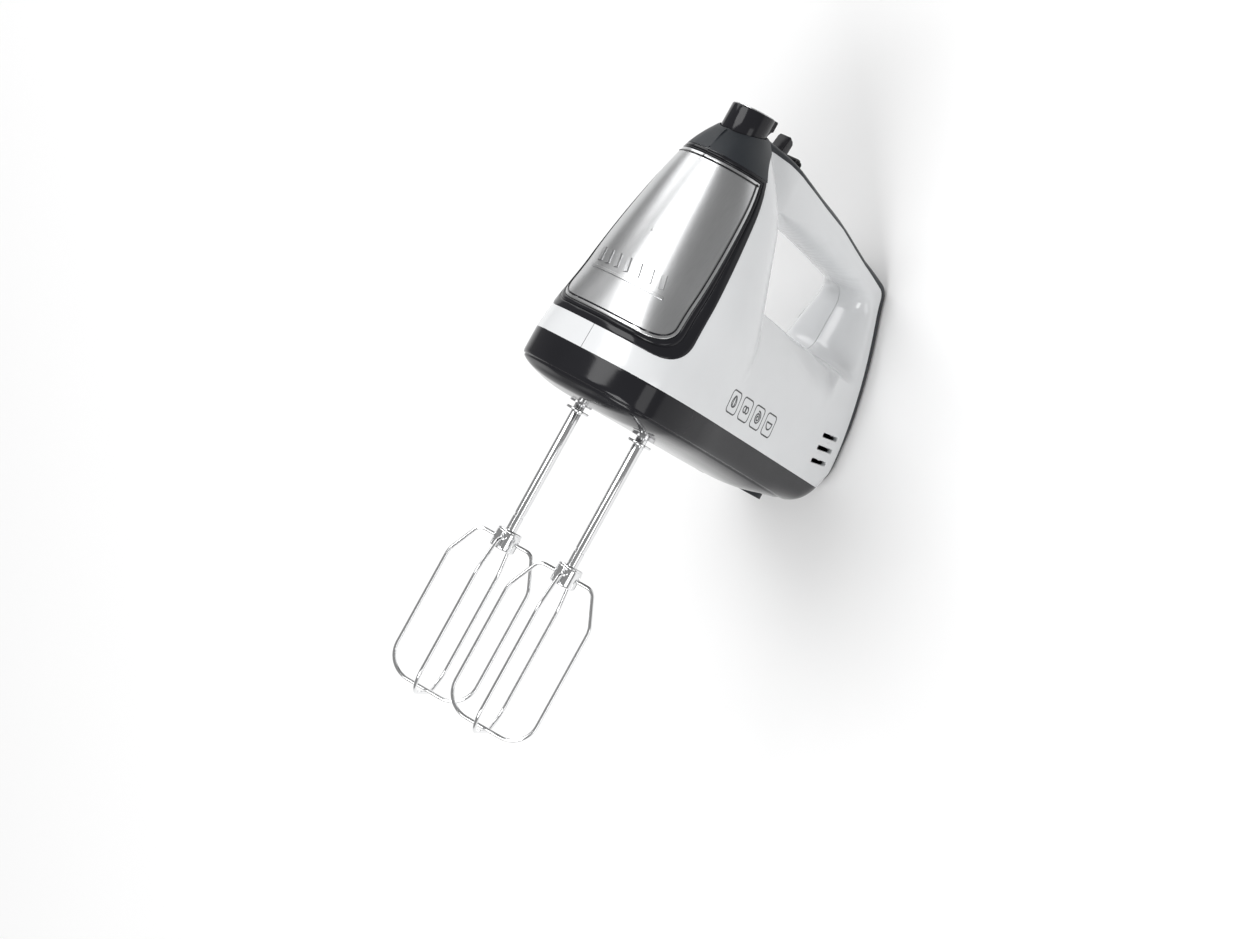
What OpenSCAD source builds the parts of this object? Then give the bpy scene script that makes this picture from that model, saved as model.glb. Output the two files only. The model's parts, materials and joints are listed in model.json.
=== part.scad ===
// Hand mixer parked on its flat rear heel, with two removable wire beaters.
// The design axes are X to the rear, Y to the mixer's right, Z up away from the beaters,
// with the beater spindles at x = 0 and the underside of the base at z = 0.
// parked() turns the whole design onto the heel, which is the frame's floor.

/* [Body] */
// Overall half width of the gear housing
body_half_w = 43.2; // [42:0.1:44]
// Wall thickness of the mouldings
wall = 2.4; // [2:0.1:2.8]
// Height of the joint between base cover and shells
split_z = 20.7; // [19:0.1:22]
// Lean of the rear heel from square, in degrees
heel_lean = 10; // [9:0.5:11]
// Half width of the grip
grip_half_w = 14.2; // [13:0.1:15]
// Thickness of the steel front plate
plate_t = 1.2; // [0.8:0.1:1.4]

/* [Beaters] */
// Distance between the two spindles
spindle_gap = 39; // [38:0.5:40]
// Radius of a beater shaft
shaft_r = 2.65; // [2.4:0.05:2.65]
// Running clearance of a shaft in its sleeve
fit_gap = 0.05; // [0.02:0.01:0.1]
// Radius of the beater wire
wire_r = 1; // [0.8:0.1:1.1]
// Radius of a beater cage to the wire's centre
cage_r = 21.5; // [20:0.1:22]
// Depth of the beater tips below the base
cage_z = -151.5; // [-155:0.5:-145]

/* [Drive] */
// Height of the motor shaft and worm
motor_z = 33; // [32:0.5:34]
// Radius of the armature core
core_r = 16.2; // [14:0.1:16.4]
// Teeth on each worm wheel
wheel_teeth = 25; // [20:1:30]

/* [Controls] */
// Radius of the speed dial
dial_r = 10.5; // [9.5:0.1:10.8]
// Distance of the dial ahead of the spindles
dial_x = -19; // [-20:0.5:-18]
// Travel of the eject button
eject_travel = 5; // [3:0.5:5]
// Travel of the turbo button
turbo_travel = 2.5; // [1:0.5:2.5]

/* [Hidden] */
$fn = 48;

// Place of the design in the parked frame: the heel's centre is the origin.
heel_shift_x = -47.7;
heel_height = 155.4;
module parked() translate([heel_shift_x, 0, heel_height]) rotate([0, 90 + heel_lean, 0]) children();
heel_c = cos(heel_lean);
heel_s = sin(heel_lean);

// ---- outer form: half width of the body as a function of x and z ----

// Rounded edge: rises from 0 at the rim to 1 at depth r, as a superellipse of power n
function ease(d, r, n) = let (u = max(0, 1 - max(0, d) / r)) pow(max(0, 1 - pow(u, n)), 1 / n);
function smax(a, b, k) = (a + b + sqrt((a - b) * (a - b) + k * k)) / 2;
function smin(a, b, k) = (a + b - sqrt((a - b) * (a - b) + k * k)) / 2;
function step01(a, b, v) = let (u = min(1, max(0, (v - a) / (b - a)))) u * u * (3 - 2 * u);

// Front tower: half width, nose line, plan depth and plan roundness at height z
function tower_w(z) = let (u = z - 59)
    body_half_w - 0.27 * (u + sqrt(u * u + 64)) / 2 - 0.0068 * pow(max(0, z - 105), 2);
function nose_x(z) = -48.7 + 0.00077 * z * z + 0.0145 * pow(max(0, z - 122), 2);
function tower_a(z) = tower_w(z) * (1 + 0.12 * max(0, 1 - z / 61));
function tower_n(z) = 2.8 - 0.75 * step01(20, 62, z);

// Rear body: plan taper, lean of the side wall, shoulder above the crease, and the grip
function plan_w(x) = 28.4 + 14.8 * (1 - pow(min(1, max(0, (x - 2) / 148)), 1.25));
function side_w(x, z) = plan_w(x) - (11 - 0.056 * x) * pow(max(0, z - 20) / 45, 2);
function shoulder_w(x, z) = 25 - 6 * step01(45, 115, x) + 0.78 * (75 - z)
    + 60 * step01(110, 132, x) + 30 * step01(95, 110, z);
function grip_w(x) = 6 + (grip_half_w - 6) * step01(-12, 20, x);

// Full half width at (x, z), with the wall t taken off
function full_w(x, z, t) =
    let (a = tower_a(z), b = tower_w(z) - t, c = nose_x(z) + a,
         back = x < c ? b : b * pow(max(0, 1 - pow((x - c) / a, 2.4)), 1 / 2.4),
         g = smax(smin(side_w(x, z), shoulder_w(x, z), 1.5), grip_w(x), 3) - t)
    smax(back, g, 2) * ease(x - nose_x(z) - t, a - t, tower_n(z));

// Side outlines as corners [x, z, radius]: the silhouette, which runs heel_over past the heel
// so that the heel is cut flat, and the finger opening
heel_over = 1;
OUTLINE = [[136 + heel_over, 124.2, 9], [75, 138.2, 250], [8, 145, 150], [-14, 145.6, 20],
    [-31.5, 139.5, 14], [-38.2, 121, 60], [-46.6, 58, 250], [-49.3, 8.5, 9], [-40, 1.8, 12],
    [-22, 0, 60], [90, 0, 150], [144, 7.5, 25], [153.6 + heel_over, 24, 12]];
OPENING = [[121.5, 112.5, 9], [16.5, 118.5, 6], [26, 78.5, 5], [121, 77.5, 8]];
opening_c = [70, 96];

function unit(v) = v / norm(v);
// Points along the arc at corner b between its neighbours a and c
function corner(a, b, c) =
    let (u = unit([a.x - b.x, a.y - b.y]), v = unit([c.x - b.x, c.y - b.y]),
         half = acos(max(-1, min(1, u * v))) / 2, r = b.z,
         o = [b.x, b.y] + unit(u + v) * r / sin(half),
         p = [b.x, b.y] + u * r / tan(half) - o, q = [b.x, b.y] + v * r / tan(half) - o,
         a0 = atan2(p.y, p.x), d = atan2(q.y, q.x) - a0,
         sweep = d > 180 ? d - 360 : d < -180 ? d + 360 : d)
    [for (i = [0:6]) o + r * [cos(a0 + sweep * i / 6), sin(a0 + sweep * i / 6)]];
// Closed outline through rounded corners
function rounded(list) = let (n = len(list))
    [for (i = [0:n - 1]) each corner(list[(i + n - 1) % n], list[i], list[(i + 1) % n])];
// The same outline with its straight runs divided into short ones
function divided(p) = let (m = len(p))
    [for (i = [0:m - 1]) let (a = p[i], b = p[(i + 1) % m], k = max(1, ceil(norm(b - a) / 4)))
        each [for (j = [0:k - 1]) a + (b - a) * j / k]];
function sorted(e) = len(e) < 2 ? e : let (p = e[floor(len(e) / 2)][0])
    concat(sorted([for (v = e) if (v[0] < p) v]), [for (v = e) if (v[0] == p) v],
        sorted([for (v = e) if (v[0] > p) v]));
// Distance of an outline from the opening's centre, as a table over the angle
function reach(list) = let (q = [for (p = divided(rounded(list))) p - opening_c],
    e = sorted([for (p = q) [(atan2(p.y, p.x) + 360) % 360, norm(p)]]))
    [for (k = [-360, 0, 360]) each [for (s = e) [s[0] + k, s[1]]]];
OUT_R = reach(OUTLINE);
IN_R = reach(OPENING);

// Edge rounding over the angle: radius and power at the outline, radius at the opening
OUT_EDGE = [[0, 8], [22, 8], [40, 9], [115, 9], [140, 6], [156, 3], [165, 2], [207, 2], [214, 8],
    [222, 15], [318, 15], [332, 8], [360, 8]];
OUT_POW = [[0, 5], [22, 4], [40, 2.3], [140, 2.2], [210, 2.4], [222, 2.8], [318, 2.8], [332, 5],
    [360, 5]];
IN_EDGE = [[0, 18], [22, 17], [34, 12], [140, 12], [156, 6], [198, 5], [212, 4], [315, 4],
    [350, 17], [360, 18]];

steps_round = 72;
steps_across = 10;
// One ring of the body at angle q with the wall t taken off: up the left side, down the right
function ring(q, t) =
    let (dir = [cos(q), sin(q)], r0 = lookup(q, IN_R) + t, long = lookup(q, OUT_R) - t - r0,
         er = lookup(q, OUT_EDGE), en = lookup(q, OUT_POW), ir = lookup(q, IN_EDGE),
         half = [for (j = [0:steps_across])
             let (s = (1 - cos(180 * j / steps_across)) / 2, p = opening_c + dir * (r0 + s * long))
             [p.x, j == 0 || j == steps_across ? 0
                 : full_w(p.x, p.y, t) * ease(s * long, min(ir, long / 2), 2)
                     * ease((1 - s) * long, min(er, long / 2), en), p.y]])
    concat([for (p = half) [p.x, -p.y, p.z]],
        [for (j = [steps_across - 1:-1:1]) half[j]]);

// Body of the mixer as one ring round the finger opening, with the wall t taken off
module body_form(t = 0) {
    n = 2 * steps_across;
    points = [for (i = [0:steps_round - 1]) each ring(360 * i / steps_round, t)];
    faces = [for (i = [0:steps_round - 1], j = [0:n - 1])
        let (k = (i + 1) % steps_round, l = (j + 1) % n, a = i * n + j, b = i * n + l,
             c = k * n + l, d = k * n + j)
        each [[a, c, b], [a, d, c]]];
    polyhedron(points, faces);
}

module skin(t = wall) difference() { body_form(); body_form(t); }

// Wall of side outline p between y0 and y1
module slab(p, y0, y1) translate([0, y1, 0]) rotate([90, 0, 0]) linear_extrude(y1 - y0) polygon(p);

// Everything behind the flat heel
heel_foot_x = heel_height / heel_c;
module behind_heel() translate([heel_foot_x, -60, 0]) rotate([0, -heel_lean, 0])
    translate([0, 0, -10]) cube([30, 120, 200]);

// ---- side outlines of the outer pieces ----
far = 60;
frame_z = 32.6;
dome_z = 125.6;
plate_z = 38.5;
plate_top = 123;
// Lower rear corner of the frame, rear top of the frame, shoulder of the dome, spine and heel
FRAME_ARC = corner([-far, frame_z], [-28.5, frame_z, 15], [-15.4, dome_z]);
DOME_ARC = corner([-15.4, dome_z], [-15, 141.6, 14], [8, 141.9]);
SPINE_ARC = corner([75, 135.1], [132.6, 121.7, 6], [150.4, split_z]);
PLATE_ARC = corner([-far, plate_z], [-35.8, plate_z, 12], [-20, plate_top]);
WHITE = concat([[-far, split_z], [-far, frame_z]], FRAME_ARC, [[-15.4, dome_z]], DOME_ARC,
    [[8, 141.9], [75, 135.1]], SPINE_ARC, [[150.4, split_z]]);
COVER = concat([[-far, dome_z], [-15.4, dome_z]], DOME_ARC, [[8, 141.9], [75, 135.1]], SPINE_ARC,
    [[150.4, split_z], [170, split_z], [170, 170], [-far, 170]]);
FRAME = concat([[-far, frame_z]], FRAME_ARC, [[-15.4, dome_z], [-far, dome_z]]);
PLATE = concat([[-far, plate_z]], PLATE_ARC, [[-20, plate_top], [-far, plate_top]]);

// ---- housing ----
// Screws that join the shells: [x, z, seat of the head]
SCREWS = [[60, 129, 8], [133, 95, 12], [110, 48, 24]];
boss_r = 4.2;
screw_r = 1.5;
head_r = 3;
head_t = 2;
thread_l = 10;
screw_gap = 0.1;
// Cooling slots at the rear corners: heights, ends and height of one slot
VENT_Z = [44.7, 38.2, 31.3];
vent_x0 = 120;
vent_x1 = 138;
vent_h = 2.2;

// Rod along Y between y0 and y1
module rod_y(x, z, r, y0, y1) translate([x, y1, z]) rotate([90, 0, 0]) cylinder(r = r, h = y1 - y0);
// Rod along X between x0 and x1 on the motor's axis
module rod_x(r, x0, x1, y = 0, z = motor_z) translate([x0, y, z]) rotate([0, 90, 0])
    cylinder(r = r, h = x1 - x0);
// Block between two corners
module block(a, b) translate(a) cube(b - a);

module half_shell(side) difference() {
    union() {
        intersection() {
            skin();
            slab(WHITE, side < 0 ? -far : 0, side < 0 ? 0 : far);
        }
        intersection() {
            body_form(wall / 2);
            union() for (s = SCREWS) rod_y(s.x, s.y, boss_r, side < 0 ? -far : 0, side < 0 ? 0 : far);
        }
    }
    for (s = SCREWS) {
        rod_y(s.x, s.y, screw_r + screw_gap, -thread_l - 1, far);
        rod_y(s.x, s.y, head_r + screw_gap, s.z, far);
    }
    for (z = VENT_Z) block([vent_x0, side < 0 ? -far : 20, z - vent_h / 2],
        [vent_x1, side < 0 ? -20 : far, z + vent_h / 2]);
}
module left_shell() color("white") parked() half_shell(-1);
module right_shell() color("white") parked() half_shell(1);

spindle_y = spindle_gap / 2;
sleeve_r = 5.6;
sleeve_hole_r = 6.6;
inlet_x = 134;
inlet_r = 7;
module base_cover() color([0.06, 0.06, 0.07]) parked() difference() {
    intersection() {
        skin();
        block([-far, -far, -5], [170, far, split_z]);
    }
    for (y = [-spindle_y, spindle_y]) translate([0, y, -5]) cylinder(r = sleeve_hole_r, h = 20);
    translate([inlet_x, 0, -5]) cylinder(r = inlet_r, h = 30);
    behind_heel();
}

well_z = 135;
well_gap = 0.4;
EJECT_SLOT = [[8.6, -4], [16.4, 4]];
TURBO_SLOT = [[23.7, -3.8], [30.3, 3.8]];
module button_slot(s) block([s[0].x, s[0].y, 130], [s[1].x, s[1].y, 170]);
module soft_touch_cover() color([0.19, 0.21, 0.23]) parked() difference() {
    union() {
        intersection() {
            skin();
            slab(COVER, -far, far);
        }
        intersection() {
            body_form(0.2);
            translate([dial_x, 0, well_z]) cylinder(r = dial_r + well_gap + 1.5, h = 12);
        }
    }
    translate([dial_x, 0, well_z + 1.4]) cylinder(r = dial_r + well_gap, h = 30);
    translate([dial_x, 0, well_z - 5]) cylinder(r = dial_spindle_r + 0.3, h = 20);
    button_slot(EJECT_SLOT);
    button_slot(TURBO_SLOT);
    behind_heel();
}

module plate_layer(t0, t1) intersection() {
    difference() { body_form(t0); body_form(t1); }
    slab(PLATE, -far, far);
}
module front_frame() color([0.05, 0.05, 0.06]) parked() difference() {
    intersection() {
        skin();
        slab(FRAME, -far, far);
    }
    slab(PLATE, -far, far);
}
module front_plate() color([0.78, 0.79, 0.8]) parked() plate_layer(0, plate_t);

module cord_inlet() color([0.08, 0.08, 0.09]) parked() difference() {
    translate([inlet_x, 0, 2.5]) cylinder(r = inlet_r, h = 13.5);
    translate([inlet_x, 0, 0]) cylinder(r = 3.6, h = 20);
}

// ---- gear train ----
bush_r = 7.8;
PLATE_Z = [8, 45];
gear_plate_t = 3;
POSTS = [[-15, -33], [17, -33], [-15, 33], [17, 33]];
module gear_plate(z) difference() {
    block([-19, -36, z], [21, 36, z + gear_plate_t]);
    for (y = [-spindle_y, spindle_y]) translate([0, y, z - 1]) cylinder(r = bush_r - 1.6, h = 10);
}
bearing_r = 6;
motor_shaft_r = 3;
BEARING_X = [-18, 33.5, 92.5];
bearing_l = 4.5;
module gear_case() color([0.85, 0.85, 0.83]) parked() difference() {
    union() {
        gear_plate(PLATE_Z[0]);
        for (p = POSTS) translate([p.x, p.y, PLATE_Z[0]]) cylinder(r = 3, h = PLATE_Z[1] - PLATE_Z[0]);
        for (x = [-10, 12], y = [-8, 8]) translate([x, y, 3.2]) cylinder(r = 2, h = 5);
        block([BEARING_X[0], -8, PLATE_Z[0]], [BEARING_X[0] + bearing_l, 8, 42]);
    }
    rod_x(bearing_r, BEARING_X[0] - 1, BEARING_X[0] + bearing_l + 1);
}
module gear_cover() color([0.8, 0.8, 0.78]) parked() gear_plate(PLATE_Z[1]);
module spindle_bushes() color([0.72, 0.5, 0.25]) parked()
    for (y = [-spindle_y, spindle_y], z = PLATE_Z) translate([0, y, z]) difference() {
        union() {
            cylinder(r = bush_r - 1.6, h = gear_plate_t);
            translate([0, 0, gear_plate_t]) cylinder(r = bush_r, h = 1);
        }
        translate([0, 0, -1]) cylinder(r = sleeve_r + fit_gap, h = 8);
    }

// Worm wheel with short teeth that clear the worm
wheel_r = 15.05;
tooth_h = 1.6;
module worm_wheel(y) color([0.92, 0.9, 0.84]) parked() translate([0, y, motor_z - 5]) difference() {
    union() {
        cylinder(r = wheel_r - tooth_h, h = 10);
        for (i = [0:wheel_teeth - 1]) rotate(360 * i / wheel_teeth)
            translate([wheel_r - tooth_h - 0.5, -0.8, 0]) cube([tooth_h + 0.3, 1.6, 10]);
    }
    translate([0, 0, -1]) cylinder(r = sleeve_r, h = 12);
}
sleeve_z0 = -0.6;
sleeve_z1 = 49.5;
module drive_sleeve(y) color([0.75, 0.75, 0.77]) parked() translate([0, y, 0]) difference() {
    translate([0, 0, sleeve_z0]) cylinder(r = sleeve_r, h = sleeve_z1 - sleeve_z0);
    translate([0, 0, sleeve_z0 - 1]) cylinder(r = shaft_r + fit_gap, h = sleeve_z1 - sleeve_z0 + 2);
}
module left_worm_wheel() worm_wheel(-spindle_y);
module right_worm_wheel() worm_wheel(spindle_y);
module left_drive_sleeve() drive_sleeve(-spindle_y);
module right_drive_sleeve() drive_sleeve(spindle_y);

// ---- motor ----
CORE_X = [42, 66];
module motor_stator() color([0.45, 0.46, 0.48]) parked() difference() {
    block([CORE_X[0], -25, motor_z - 23], [CORE_X[1], 25, motor_z + 23]);
    rod_x(core_r + 0.5, CORE_X[0] - 1, CORE_X[1] + 1);
    for (s = [-1, 1], y = [-16, 11]) translate([0, 0, motor_z + s * 19.5])
        block([CORE_X[0] - 1, y, -2.5], [CORE_X[1] + 1, y + 5, 2.5]);
}
// Length of the coils past the ends of their cores
coil_over = 3.5;
module field_coils() color([0.72, 0.38, 0.16]) parked()
    for (s = [-1, 1]) translate([0, 0, motor_z + s * 19.5]) difference() {
        block([CORE_X[0] - coil_over, -16, -2.5], [CORE_X[1] + coil_over, 16, 2.5]);
        block([CORE_X[0], -11, -3], [CORE_X[1], 11, 3]);
    }
LEG_Y = 22;
LEG_Z = 20;
module bracket_legs(x0, x1) for (y = [-LEG_Y, LEG_Y], z = [-LEG_Z, LEG_Z])
    rod_x(2, x0, x1, y, motor_z + z);
module front_bracket() color([0.6, 0.61, 0.63]) parked() difference() {
    union() {
        block([34.5, -25, motor_z - 23], [37, 25, motor_z + 23]);
        rod_x(bearing_r + 2, BEARING_X[1], BEARING_X[1] + bearing_l);
        bracket_legs(37, CORE_X[0]);
    }
    rod_x(bearing_r, BEARING_X[1] - 1, BEARING_X[1] + bearing_l + 1);
}
module rear_bracket() color([0.6, 0.61, 0.63]) parked() difference() {
    union() {
        block([93, -27, motor_z - 22], [95.5, 27, motor_z + 22]);
        rod_x(bearing_r + 2, BEARING_X[2], BEARING_X[2] + bearing_l);
        bracket_legs(CORE_X[1], 93);
        for (y = [-28, 14]) block([86.5, y, motor_z - 4.5], [93, y + 14, motor_z + 4.5]);
    }
    rod_x(bearing_r, BEARING_X[2] - 1, BEARING_X[2] + bearing_l + 1);
}
module motor_bearings() color([0.7, 0.48, 0.22]) parked() for (x = BEARING_X) difference() {
    rod_x(bearing_r, x, x + bearing_l);
    rod_x(motor_shaft_r + fit_gap, x - 1, x + bearing_l + 1);
}
// Shaft with a two-start worm: an oval that turns as it runs
worm_x = 9;
worm_r = 4.3;
worm_root_r = 3.1;
worm_lead = 7.54;
module worm() translate([-worm_x, 0, motor_z]) rotate([0, 90, 0])
    linear_extrude(2 * worm_x, twist = -360 * 2 * worm_x / worm_lead, slices = 30)
        polygon([for (a = [0:30:330]) ((worm_r + worm_root_r) / 2
            + (worm_r - worm_root_r) / 2 * cos(2 * a)) * [cos(a), sin(a)]]);
module motor_shaft() color([0.7, 0.71, 0.73]) parked() {
    rod_x(motor_shaft_r, BEARING_X[0], -worm_x);
    worm();
    rod_x(motor_shaft_r, worm_x, 99);
}
module on_shaft(r, x0, x1) difference() {
    rod_x(r, x0, x1);
    rod_x(motor_shaft_r, x0 - 1, x1 + 1);
}
module armature_core() color([0.5, 0.5, 0.52]) parked() difference() {
    on_shaft(core_r, CORE_X[0], CORE_X[1]);
    for (i = [0:11]) translate([0, 0, motor_z]) rotate([30 * i, 0, 0])
        block([CORE_X[0] - 1, -1.2, core_r - 4], [CORE_X[1] + 1, 1.2, core_r + 1]);
}
winding_r = 12;
module armature_winding() color([0.75, 0.4, 0.18]) parked() {
    on_shaft(winding_r, CORE_X[0] - coil_over, CORE_X[0]);
    on_shaft(winding_r, CORE_X[1], CORE_X[1] + 6);
}
COMM_X = [76, 88];
comm_r = 9.5;
module commutator() color([0.8, 0.5, 0.28]) parked() on_shaft(comm_r, COMM_X[0], COMM_X[1]);
fan_r = 18;
module cooling_fan() color([0.9, 0.9, 0.88]) parked() {
    on_shaft(6, 23, 31);
    difference() {
        rod_x(fan_r, 29.5, 31);
        rod_x(6, 29, 32);
    }
    for (i = [0:9]) translate([0, 0, motor_z]) rotate([36 * i, 0, 0])
        block([23.5, -0.6, 5.9], [29.5, 0.6, fan_r]);
}
brush_x = 82;
module both_sides() for (m = [0, 1]) mirror([0, m, 0]) children();
module brush_holders() color([0.8, 0.65, 0.3]) parked() both_sides() difference() {
    block([brush_x - 4.5, 12, motor_z - 4.5], [brush_x + 4.5, 28, motor_z + 4.5]);
    block([brush_x - 3.1, 11, motor_z - 3.1], [brush_x + 3.1, 27, motor_z + 3.1]);
}
module carbon_brushes() color([0.15, 0.15, 0.16]) parked() both_sides()
    block([brush_x - 3, comm_r + 0.2, motor_z - 3], [brush_x + 3, 20, motor_z + 3]);
// Helical spring of radius r along Z, wire w, with n turns over height h
module coil(r, w, h, n) {
    sides = 6;
    count = 12 * n;
    points = [for (i = [0:count], k = [0:sides - 1]) let (a = 30 * i, b = 360 * k / sides,
        q = r + w * cos(b)) [q * cos(a), q * sin(a), w + (h - 2 * w) * i / count + w * sin(b)]];
    faces = concat([[for (k = [0:sides - 1]) k]],
        [for (i = [0:count - 1], k = [0:sides - 1]) let (l = (k + 1) % sides)
            each [[i * sides + k, (i + 1) * sides + k, (i + 1) * sides + l],
                [i * sides + k, (i + 1) * sides + l, i * sides + l]]],
        [[for (k = [sides - 1:-1:0]) count * sides + k]]);
    polyhedron(points, faces);
}
module brush_springs() color([0.75, 0.75, 0.78]) parked() for (s = [-1, 1])
    translate([brush_x, s < 0 ? -20.1 : 20.1, motor_z]) rotate([s < 0 ? 90 : -90, 0, 0])
        coil(2.2, 0.4, 6.8, 4);

// ---- electrics ----
board_z = 98;
module circuit_board() color([0.12, 0.4, 0.2]) parked() {
    block([-30, -16, board_z], [3, 16, board_z + 1.6]);
    translate([-22, 10, board_z - 12]) cylinder(r = 4, h = 12);
    block([-12, -14, board_z - 8], [-2, -6, board_z]);
}
module heat_sink() color([0.7, 0.71, 0.73]) parked() {
    block([-5, -12, board_z + 1.6], [-3, 12, board_z + 14]);
    for (y = [-12:6:12]) block([-3, y - 0.75, board_z + 1.6], [2, y + 0.75, board_z + 14]);
}
switch_z = 112;
dial_spindle_r = 3;
module rotary_switch() color([0.12, 0.12, 0.13]) parked() difference() {
    union() {
        block([dial_x - 10, -10, switch_z], [dial_x + 10, 10, switch_z + 12]);
        for (x = [-8, 8], y = [-8, 8]) translate([dial_x + x, y, board_z + 1.6])
            cylinder(r = 1, h = switch_z - board_z - 1.6);
    }
    translate([dial_x, 0, switch_z + 2]) cylinder(r = dial_spindle_r + fit_gap, h = 20);
}
module turbo_switch() color([0.15, 0.15, 0.16]) parked() {
    block([20, -4, 124], [34, 4, 132]);
    translate([27, 0, 132]) cylinder(r = 1.2, h = 1);
}
module housing_screws() color([0.7, 0.7, 0.72]) parked() for (s = SCREWS) {
    rod_y(s.x, s.y, screw_r, -thread_l, s.z);
    rod_y(s.x, s.y, head_r, s.z, s.z + head_t);
}

// ---- beaters ----
collar_z = -4.3;
hub_z = -76.5;
hub_h = 10;
hub_r = 6.1;
wire_z = -71.5;
tip_z = 38;
// Wires are set this far round from the line between the spindles, so the cages interleave
wire_turn = 22.5;
// One bent wire as corners [r, z, radius], from the hub down, across and up again
function wire_line(z1) = let (c = [[-4.5, wire_z], [-14, wire_z, 5], [-cage_r, -88, 12],
        [-cage_r, z1, 12.5], [cage_r, z1, 12.5], [cage_r, -88, 12], [14, wire_z, 5], [4.5, wire_z]])
    concat([c[0]], [for (i = [1:6]) each corner(c[i - 1], c[i], c[i + 1])], [c[7]]);
module wire(z1) {
    sides = 8;
    p = wire_line(z1);
    n = len(p);
    points = [for (i = [0:n - 1], k = [0:sides - 1])
        let (t = unit(p[min(i + 1, n - 1)] - p[max(i - 1, 0)]), b = 360 * k / sides + 22.5,
             o = p[i] + wire_r * cos(b) * [-t.y, t.x])
        [o.x, wire_r * sin(b), o.y]];
    faces = concat([[for (k = [0:sides - 1]) k]],
        [for (i = [0:n - 2], k = [0:sides - 1]) let (l = (k + 1) % sides)
            each [[i * sides + k, (i + 1) * sides + k, (i + 1) * sides + l],
                [i * sides + k, (i + 1) * sides + l, i * sides + l]]],
        [[for (k = [sides - 1:-1:0]) (n - 1) * sides + k]]);
    polyhedron(points, faces);
}
module beater_shaft(y) color([0.8, 0.8, 0.82]) parked() translate([0, y, hub_z + hub_h]) {
    cylinder(r = shaft_r, h = tip_z - 2 - hub_z - hub_h);
    translate([0, 0, tip_z - 2 - hub_z - hub_h]) cylinder(r1 = shaft_r, r2 = shaft_r - 1.4, h = 2);
}
module beater_collar(y) color([0.82, 0.82, 0.84]) parked() translate([0, y, collar_z]) difference() {
    cylinder(r = 5.75, h = 1.2);
    translate([0, 0, -1]) cylinder(r = shaft_r, h = 4);
}
module beater_hub(y) color([0.75, 0.75, 0.78]) parked() translate([0, y, hub_z]) {
    cylinder(r = hub_r, h = hub_h - 1);
    translate([0, 0, hub_h - 1]) cylinder(r = hub_r - 0.8, h = 1);
}
module beater_wires(y) color([0.82, 0.82, 0.84]) parked() translate([0, y, 0]) {
    rotate(wire_turn) wire(cage_z);
    rotate(wire_turn + 90) wire(cage_z + 2 * wire_r + 0.2);
}
module left_beater_shaft() beater_shaft(-spindle_y);
module left_beater_collar() beater_collar(-spindle_y);
module left_beater_hub() beater_hub(-spindle_y);
module left_beater_wires() beater_wires(-spindle_y);
module right_beater_shaft() beater_shaft(spindle_y);
module right_beater_collar() beater_collar(spindle_y);
module right_beater_hub() beater_hub(spindle_y);
module right_beater_wires() beater_wires(spindle_y);

// ---- controls ----
dial_z = 137.2;
dial_front_z = 150.7;
dial_slope = 6.3;
// Everything above the sloping top of the dial, raised by dz
module above_dial(dz = 0) translate([dial_x - dial_r, -30, dial_front_z + dz])
    rotate([0, -dial_slope, 0]) translate([-20, 0, 0]) cube([70, 60, 30]);
// Finger tab at the dial's rear near side
tab_turn = -35;
module speed_dial() color([0.06, 0.06, 0.07]) parked() difference() {
    union() {
        translate([dial_x, 0, dial_z]) cylinder(r = dial_r, h = 20);
        translate([dial_x, 0, 146.2]) rotate(tab_turn) block([5, -3, 0], [dial_r + 1.7, 3, 10]);
    }
    above_dial();
    translate([dial_x, 0, dial_z - 1]) cylinder(r = dial_spindle_r, h = 8);
}
cap_r = 9.3;
cap_edge = 0.4;
cap_crown = 1.1;
module dial_cap() color([0.8, 0.81, 0.83]) parked()
    translate([dial_x - dial_r, 0, dial_front_z]) rotate([0, -dial_slope, 0])
        translate([dial_r + 0.05, 0, 0]) rotate_extrude() polygon(concat([[0, 0], [cap_r, 0]],
            [for (i = [4:-1:0]) let (u = i / 4) [cap_r * u, cap_crown - (cap_crown - cap_edge) * u * u]]));
module dial_spindle() color([0.7, 0.71, 0.73]) parked() translate([dial_x, 0, switch_z + 3])
    cylinder(r = dial_spindle_r, h = dial_z + 7 - switch_z - 3);

TURBO = [[24, 137], [24, 146.4], [24.8, 147.3], [27.2, 147.3], [27.6, 146.8], [29, 146.6],
    [30, 145.8], [30, 137]];
module turbo_button() color([0.05, 0.05, 0.06]) parked() {
    slab(TURBO, -3.5, 3.5);
    block([22, -5, 135.6], [32, 5, 137]);
}
EJECT = [[9, 139], [9.4, 144], [11.2, 152], [12, 153], [15, 151.9], [15.9, 150.8], [15.4, 144],
    [15.2, 139]];
module eject_button() color([0.05, 0.05, 0.06]) parked() slab(EJECT, -3.5, 3.5);
rod_pos_x = 10;
eject_rod_r = 2;
yoke_z = 55.5;
module eject_rod() color([0.85, 0.85, 0.83]) parked() translate([rod_pos_x, 0, yoke_z + 3])
    cylinder(r = eject_rod_r, h = 139 - yoke_z - 3);
module eject_yoke() color([0.85, 0.85, 0.83]) parked() {
    block([7, -22.5, yoke_z], [13, 22.5, yoke_z + 3]);
    both_sides() block([-3, 16.5, yoke_z], [7, 22.5, yoke_z + 3]);
    both_sides() translate([0, spindle_y, yoke_z - 9]) cylinder(r = 2.2, h = 9);
}
guide_z = 122;
module eject_guide() color([0.85, 0.85, 0.83]) parked() difference() {
    block([3, -6, guide_z], [17, 6, guide_z + 2.5]);
    translate([rod_pos_x, 0, guide_z - 1]) cylinder(r = eject_rod_r + fit_gap, h = 5);
}
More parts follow.
